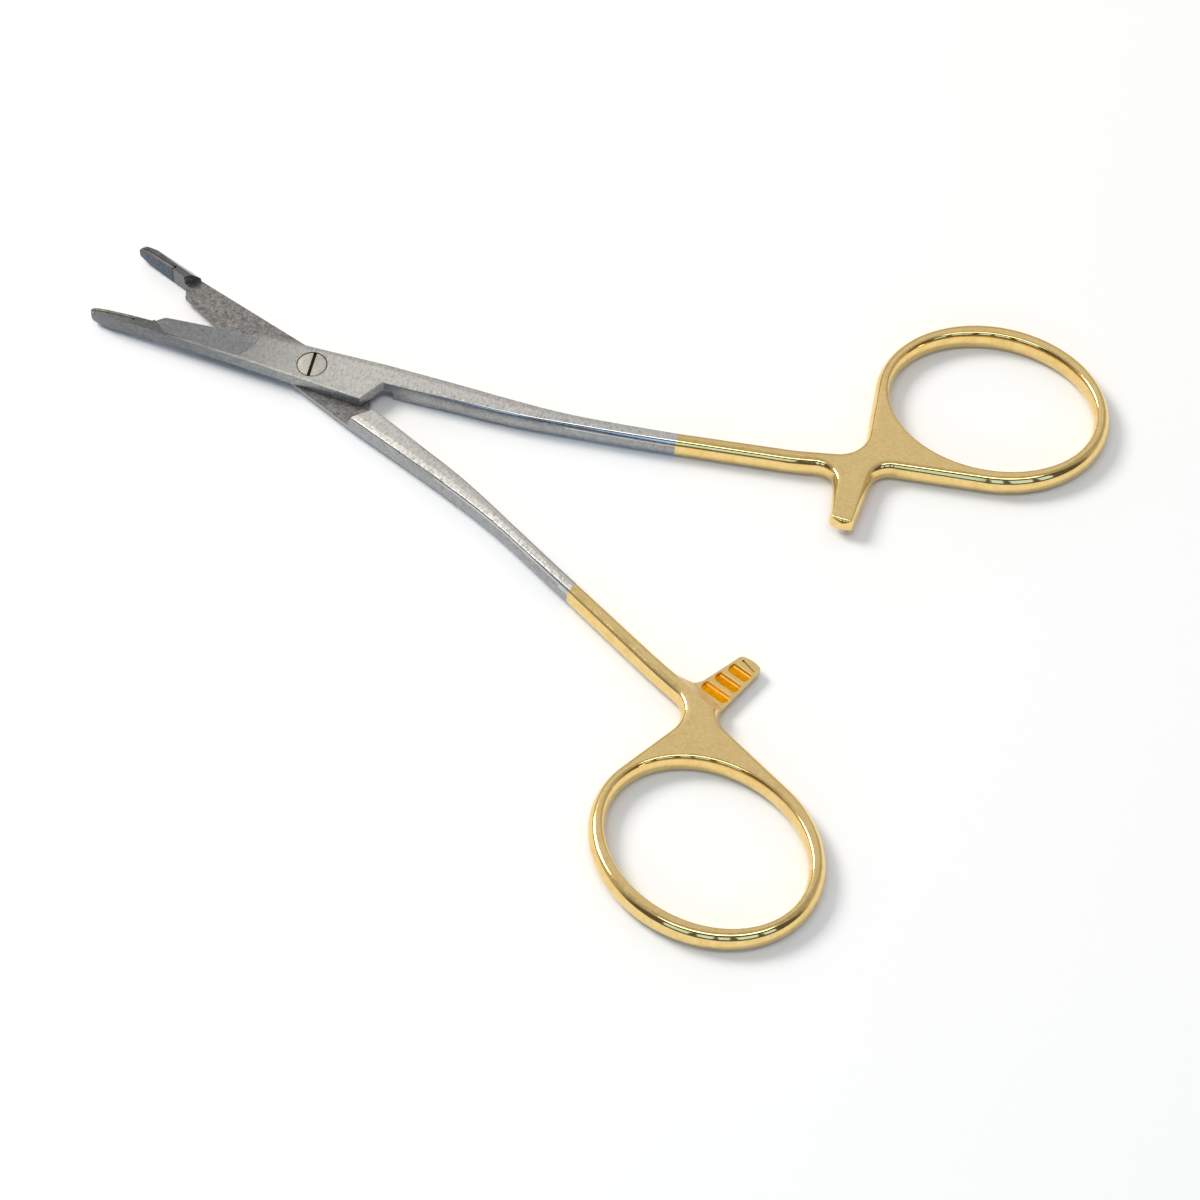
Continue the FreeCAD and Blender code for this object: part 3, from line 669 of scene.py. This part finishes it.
def make_screw():
    """The slotted screw: a turned pin and head with the driver slot sawn into it."""
    # Stainless steel, turned head with a satin face: warm light grey.
    steel = metal("turned_screw_steel", "#C9C4BB", "#D8D4CC", "#B0AAA1",
                  roughness=0.34, grain_mm=0.16, turn=30, stretch=0.5, bump=0.5, stains=0.3)
    # The sawn slot: nearly black, painted shade for the shade down in the slot.
    slot_shade = metal("sawn_slot_painted_shade", "#4B4845", "#67635E", "#2E2C2A",
                 roughness=0.55, grain_mm=0.15, bump=0.8)
    profile = [(0.82, -HALF), (0.9, -HALF + 0.08), (0.9, -LAP), (1.15, -LAP), (1.15, HALF - 0.7),
               (1.75, HALF - 0.7), (1.75, HALF - 0.07), (1.69, HALF - 0.01), (1.6, HALF)]
    mesh = bmesh.new()
    count = 96
    rings = [[mesh.verts.new((x, y, z)) for x, y in circle(radius, count)]
             for radius, z in profile]
    mesh.faces.new(rings[0][::-1])
    mesh.faces.new(rings[-1])
    for low, high in zip(rings, rings[1:]):
        for k in range(count):
            mesh.faces.new((low[k], low[(k + 1) % count], high[(k + 1) % count], high[k]))
    bmesh.ops.recalc_face_normals(mesh, faces=mesh.faces)
    screw = finish_mesh("slotted_joint_screw", mesh, [steel, slot_shade])
    along = Vector((math.cos(math.radians(SLOT_TURN)), math.sin(math.radians(SLOT_TURN)))) * 3
    across = Vector((-along.y, along.x)).normalized() * SLOT_HALF_WIDTH
    slot = [along + across, across - along, -along - across, along - across]
    # The slot's faces take finish 1, the painted shade.
    machine(screw, [plan_block("driver_slot", [(p.x, p.y) for p in slot], HALF - SLOT_DEPTH, 3,
                               [steel, slot_shade], 1)])
    mesh = bmesh.new()
    mesh.from_mesh(screw.data)
    for face in mesh.faces:
        face.smooth = True
    for edge in mesh.edges:
        edge.smooth = len(edge.link_faces) == 2 and edge.calc_face_angle(0) < CRISP
    mesh.to_mesh(screw.data)
    mesh.free()
    place(screw, Matrix.Translation((0, 0, HALF)))
    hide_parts("joint_screw")
    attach(screw, "lower_half")


# ---------------------------------------------------------------- table, light and camera

def make_table():
    """A plain pale table top, which isn't part of the object."""
    mesh = bmesh.new()
    bmesh.ops.create_grid(mesh, x_segments=1, y_segments=1, size=1.5)
    table = finish_mesh("pale_table", mesh, [])
    paper = bpy.data.materials.new("matte_white_table")
    paper.use_nodes = True
    shader = paper.node_tree.nodes["Principled BSDF"]
    shader.inputs["Base Color"].default_value = tint("#FBFBFB")
    shader.inputs["Roughness"].default_value = 0.9
    shader.inputs["Specular IOR Level"].default_value = 0.1
    table.data.materials.append(paper)


def soft_box(name, location, target, size, watts, colour):
    """One rectangular lamp that faces its target."""
    data = bpy.data.lights.new(name, "AREA")
    data.shape = "RECTANGLE"
    data.size, data.size_y = size
    data.energy = watts
    data.color = tint(colour)[:3]
    lamp = bpy.data.objects.new(name, data)
    lamp.location = location
    lamp.rotation_euler = (Vector(target) - Vector(location)).to_track_quat("-Z", "Y").to_euler()
    bpy.context.scene.collection.objects.link(lamp)


def make_light():
    """A large lamp at the rear left, a panel behind and a strip above, and five tall window
    panes opposite them in a darker wall."""
    soft_box("key_soft_box", (-0.64, 0.02, 0.68), (0.03, 0, 0), (0.36, 0.36), 6.0, "#FFFCF4")
    soft_box("rear_panel", (-0.36, 0.58, 0.86), (0, 0, 0), (1.5, 0.62), 1.15, "#FFFEFB")
    soft_box("overhead_strip", (0.125, -0.15, 0.78), (0.04, 0, 0), (0.6, 0.18), 1.35, "#FFFFFF")
    front = Vector((0.494, -0.869, 0))
    height, watts_per_area = 0.52, 5.2
    for turn, width in ((-33, 0.30), (-14, 0.20), (-1, 0.15), (17, 0.30), (36, 0.2)):
        pane = Matrix.Rotation(math.radians(turn), 3, "Z") @ front + Vector((0.03, 0, 0.42))
        soft_box("front_window_pane", pane, (0.03, 0, 0.02), (width, height),
                 watts_per_area * width * height, "#A2CAF2")
    world = bpy.data.worlds.new("studio_room")
    world.use_nodes = True
    bpy.context.scene.world = world
    tree = world.node_tree
    towards = add(tree, "TexCoord").outputs["Generated"]
    up = add(tree, "SeparateXYZ", Vector=towards).outputs["Z"]
    room = add(tree, "ValToRGB", {"stops": [(0.0, "#C6C5C1"), (0.3, "#C0BEBB"),
                                            (0.7, "#B2B1AE"), (1.0, "#B2B1AF")]},
               i0=up).outputs["Color"]
    forward = add(tree, "VectorMath", {"operation": "DOT_PRODUCT", 1: front},
                  i0=towards).outputs["Value"]
    shade = add(tree, "MapRange", {"From Min": 0.1, "From Max": 0.4, "To Min": 1.0,
                                   "To Max": 0.22}, Value=forward).outputs["Result"]
    walls = add(tree, "VectorMath", {"operation": "SCALE"}, i0=room, Scale=shade)
    seen = add(tree, "LightPath").outputs["Is Camera Ray"]
    colour = add(tree, "Mix", {"data_type": "RGBA", 7: (1, 1, 1, 1)},
                 i0=seen, i6=walls.outputs["Vector"]).outputs[2]
    tree.links.new(colour, tree.nodes["Background"].inputs["Color"])


def make_camera():
    """The camera at the photograph's angle, aimed at the middle of the instrument."""
    data = bpy.data.cameras.new("camera")
    data.lens = 132.5
    data.sensor_width = 36
    camera = bpy.data.objects.new("camera", data)
    camera.location = (0.1879, -0.2618, 0.4166)
    aim = Vector((0.0459, -0.0118, 0.00145)) - camera.location
    camera.rotation_euler = aim.to_track_quat("-Z", "Y").to_euler()
    bpy.context.scene.collection.objects.link(camera)
    bpy.context.scene.camera = camera


make_camera()
make_arms()
make_screw()
make_table()
make_light()
bpy.context.scene.view_settings.view_transform = "Standard"
